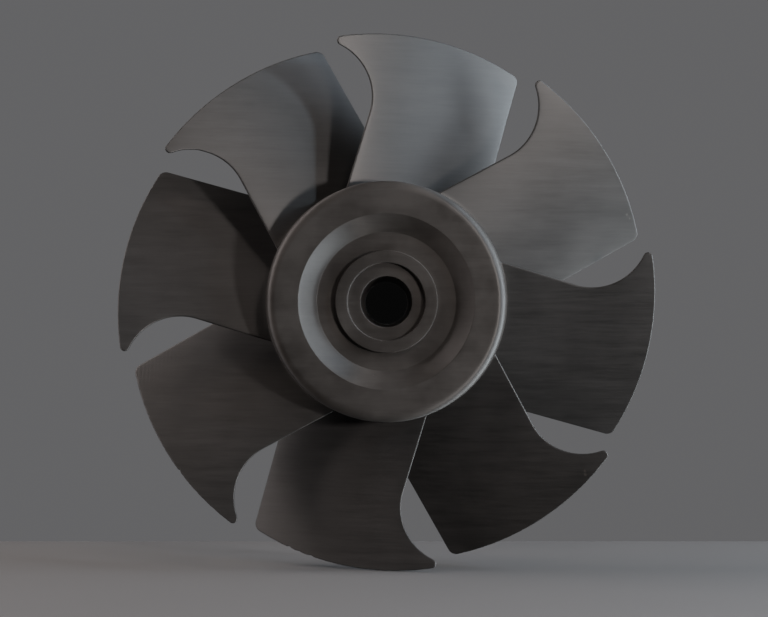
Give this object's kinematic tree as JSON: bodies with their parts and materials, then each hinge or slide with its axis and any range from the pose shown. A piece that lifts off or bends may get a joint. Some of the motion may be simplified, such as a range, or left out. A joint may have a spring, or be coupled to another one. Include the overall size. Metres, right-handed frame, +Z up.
{
  "type": "axial fan impeller",
  "caption": "Axial fan impeller with swept, forward-tipped blades on a dished hub with a raised boss, counterbore and tapered bore.",
  "frame": {"origin": "on the axis of the bore, in the plane of the hub's back edge", "axes": "+Y along the axis of rotation, from the dished front to the open back; +Z up as the impeller stands"},
  "size_m": [0.74, 0.168, 0.74],
  "materials": {
    "hub": "satin black plastic with fine layer lines",
    "blades": "satin black plastic with fine layer lines"
  },
  "bodies": {
    "root": {"hub_wall": "hub", "hub_face": "hub", "recess_cone": "hub", "recess_floor": "hub", "hub_boss": "hub", "bore_sleeve": "hub", "web_rib_1": "hub", "web_rib_2": "hub", "web_rib_3": "hub", "web_rib_4": "hub", "web_rib_5": "hub", "web_rib_6": "hub", "web_rib_7": "hub", "web_rib_8": "hub", "blade_1": "blades", "blade_2": "blades", "blade_3": "blades", "blade_4": "blades", "blade_5": "blades", "blade_6": "blades", "blade_7": "blades", "blade_8": "blades"}
  },
  "joints": []
}
